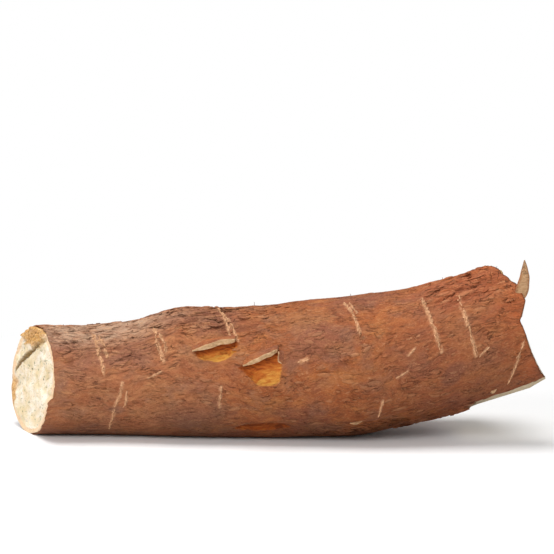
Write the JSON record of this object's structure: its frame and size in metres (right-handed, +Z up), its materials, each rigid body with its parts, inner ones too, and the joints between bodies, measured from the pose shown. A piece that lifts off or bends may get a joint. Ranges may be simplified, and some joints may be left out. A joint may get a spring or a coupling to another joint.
{
  "type": "cassava root",
  "caption": "Whole cassava root with scarred, flaking brown bark, torn strips of rind and both ends broken open, lying flat; a vegetable for kitchen and market scenes.",
  "frame": {"origin": "on the table, under the middle of the root's bounding box", "axes": "+X runs along the root from the thin end to the stout end, +Y is its back, +Z is up from the table that it lies on"},
  "size_m": [0.2998, 0.083, 0.1009],
  "materials": {
    "bark": "matt, flaking brown bark over a cream rind",
    "flesh": "broken starchy flesh, moist satin, cream white"
  },
  "bodies": {
    "root": {"cassava_root": "bark"}
  },
  "joints": []
}
